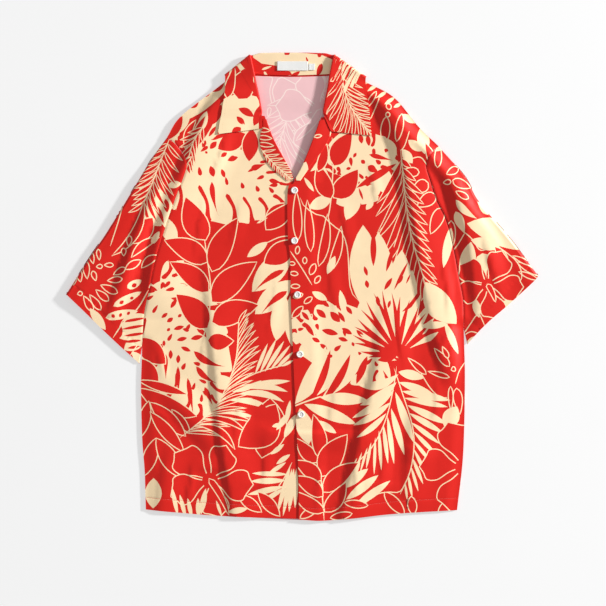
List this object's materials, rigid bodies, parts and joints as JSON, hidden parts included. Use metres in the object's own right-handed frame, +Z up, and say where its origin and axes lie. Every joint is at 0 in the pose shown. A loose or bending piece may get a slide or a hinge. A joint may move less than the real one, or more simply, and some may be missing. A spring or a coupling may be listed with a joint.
{
  "type": "hawaiian shirt",
  "caption": "Short-sleeved camp-collar shirt, buttoned and laid flat on its back, with notched lapels, a turned collar and an all-over leaf print.",
  "frame": {"origin": "on the surface that the shirt lies on, under the middle of the body", "axes": "+X to the wearer's left, +Y from the hem to the collar, +Z up from the back panel through the fronts"},
  "size_m": [0.777, 0.7715, 0.0146],
  "materials": {
    "shirt_cloth": "printed light plain-weave polyester, slightly satiny",
    "label_weave": "white woven satin tape, bare",
    "button_resin": "polished white polyester resin"
  },
  "bodies": {
    "root": {"back": "shirt_cloth", "front_left": "shirt_cloth", "front_right": "shirt_cloth", "sleeve_left": "shirt_cloth", "sleeve_right": "shirt_cloth", "collar": "shirt_cloth", "facing_left": "shirt_cloth", "facing_right": "shirt_cloth", "label": "label_weave", "size_tab": "label_weave", "button_1": "button_resin", "button_2": "button_resin", "button_3": "button_resin", "button_4": "button_resin", "button_5": "button_resin"}
  },
  "joints": []
}
